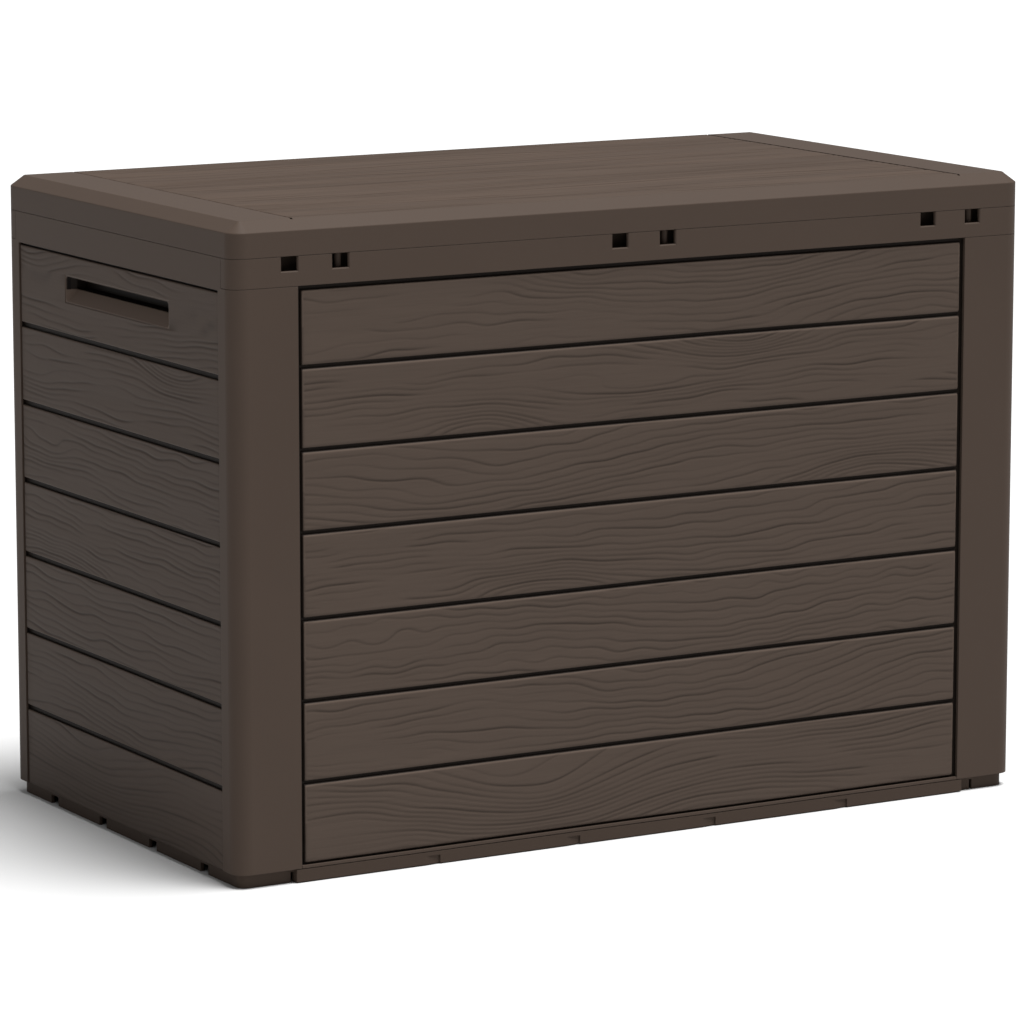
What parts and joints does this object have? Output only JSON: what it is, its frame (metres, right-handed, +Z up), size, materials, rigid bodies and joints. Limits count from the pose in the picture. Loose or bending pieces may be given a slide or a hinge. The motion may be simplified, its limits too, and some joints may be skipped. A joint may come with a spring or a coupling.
{
  "type": "deck storage box",
  "caption": "Rectangular outdoor storage box with wood-look plank panels, side hand grips and a chamfered lid hinged along the back.",
  "frame": {"origin": "on the ground under the middle of the box, at the underside of the base tray", "axes": "+Z up; +X along the long side, to the right as seen from the front; the front faces -Y and the hinges are at +Y"},
  "size_m": [0.78, 0.443, 0.552],
  "materials": {
    "panel_plastic": "dark brown moulded polypropylene with an embossed wood grain",
    "lid_plastic": "dark brown moulded polypropylene, grained top and smooth rim",
    "base_plastic": "dark brown moulded polypropylene, fine matte",
    "hinge_plastic": "dark brown moulded polypropylene, fine matte",
    "pin_steel": "drawn steel pin"
  },
  "bodies": {
    "box": {"base_tray": "base_plastic", "front_panel": "panel_plastic", "back_panel": "panel_plastic", "left_side_panel": "panel_plastic", "right_side_panel": "panel_plastic", "hinge_clip_left": "hinge_plastic", "hinge_pin_left": "pin_steel", "hinge_clip_middle": "hinge_plastic", "hinge_pin_middle": "pin_steel", "hinge_clip_right": "hinge_plastic", "hinge_pin_right": "pin_steel"},
    "lid": {"lid": "lid_plastic"}
  },
  "joints": [
    {"name": "lid_hinge", "type": "hinge", "parent": "box", "child": "lid", "pos_m": [0, 0.2215, 0.516], "axis": [-1, 0, 0], "range_deg": [0, 100]}
  ]
}
